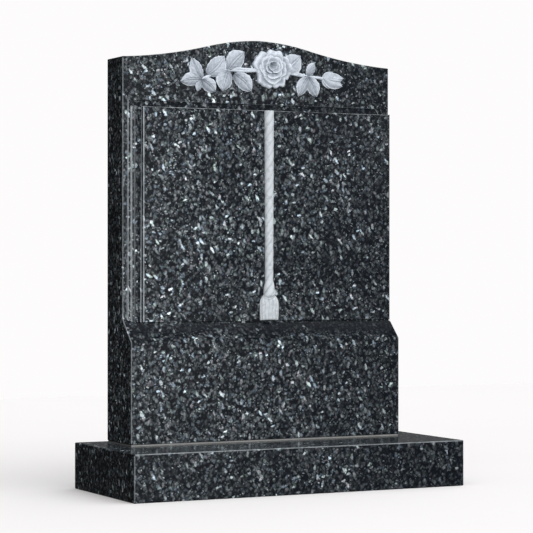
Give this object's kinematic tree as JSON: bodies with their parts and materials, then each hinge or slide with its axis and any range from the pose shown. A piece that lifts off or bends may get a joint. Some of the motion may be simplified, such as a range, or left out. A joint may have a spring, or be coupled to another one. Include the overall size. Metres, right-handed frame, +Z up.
{
  "type": "upright headstone",
  "caption": "Upright polished granite headstone with an ogee top, rose spray, open book with cord and tassel, and a shouldered foot, on a wide low base.",
  "frame": {"origin": "middle of the base's underside", "axes": "+X to the right as seen from the front, +Y to the back, +Z up; the carved front faces -Y"},
  "size_m": [0.762, 0.318, 0.9491],
  "materials": {
    "polished_granite": "polished dark blue-green pearl granite with silvery crystals",
    "mortar": "matt grey-tan cement mortar",
    "carved_granite": "unpolished, frosted pale grey where the granite is carved"
  },
  "bodies": {
    "root": {"headstone": "polished_granite", "base": "polished_granite", "mortar_bed": "mortar"}
  },
  "joints": []
}
